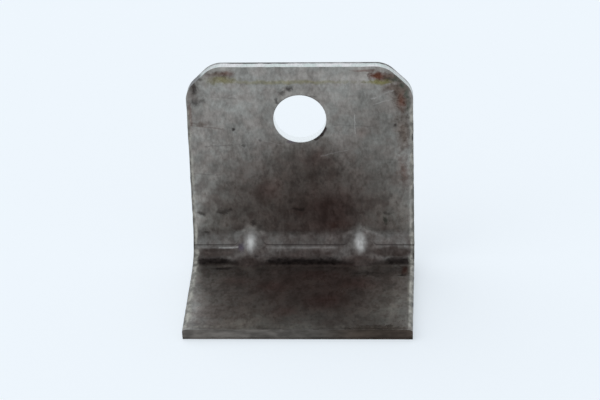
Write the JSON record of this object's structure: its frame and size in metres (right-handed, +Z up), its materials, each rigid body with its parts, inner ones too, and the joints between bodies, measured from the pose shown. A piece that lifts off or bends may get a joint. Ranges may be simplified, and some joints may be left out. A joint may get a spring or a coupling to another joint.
{
  "type": "stamped metal bracket",
  "caption": "L-shaped bracket bent from steel sheet, with a round bolt hole in its upright leaf and pressed darts that stiffen the bend.",
  "frame": {"origin": "middle of the bounding box's underside, on the surface that the base leaf stands on", "axes": "+X along the bend, +Y from the base leaf's front edge to the upright leaf's back, +Z up"},
  "size_m": [0.04, 0.028, 0.0396],
  "materials": {
    "steel": "hot-rolled steel with dark mill scale, brown stains and bright cut edges"
  },
  "bodies": {
    "root": {"bracket": "steel"}
  },
  "joints": []
}
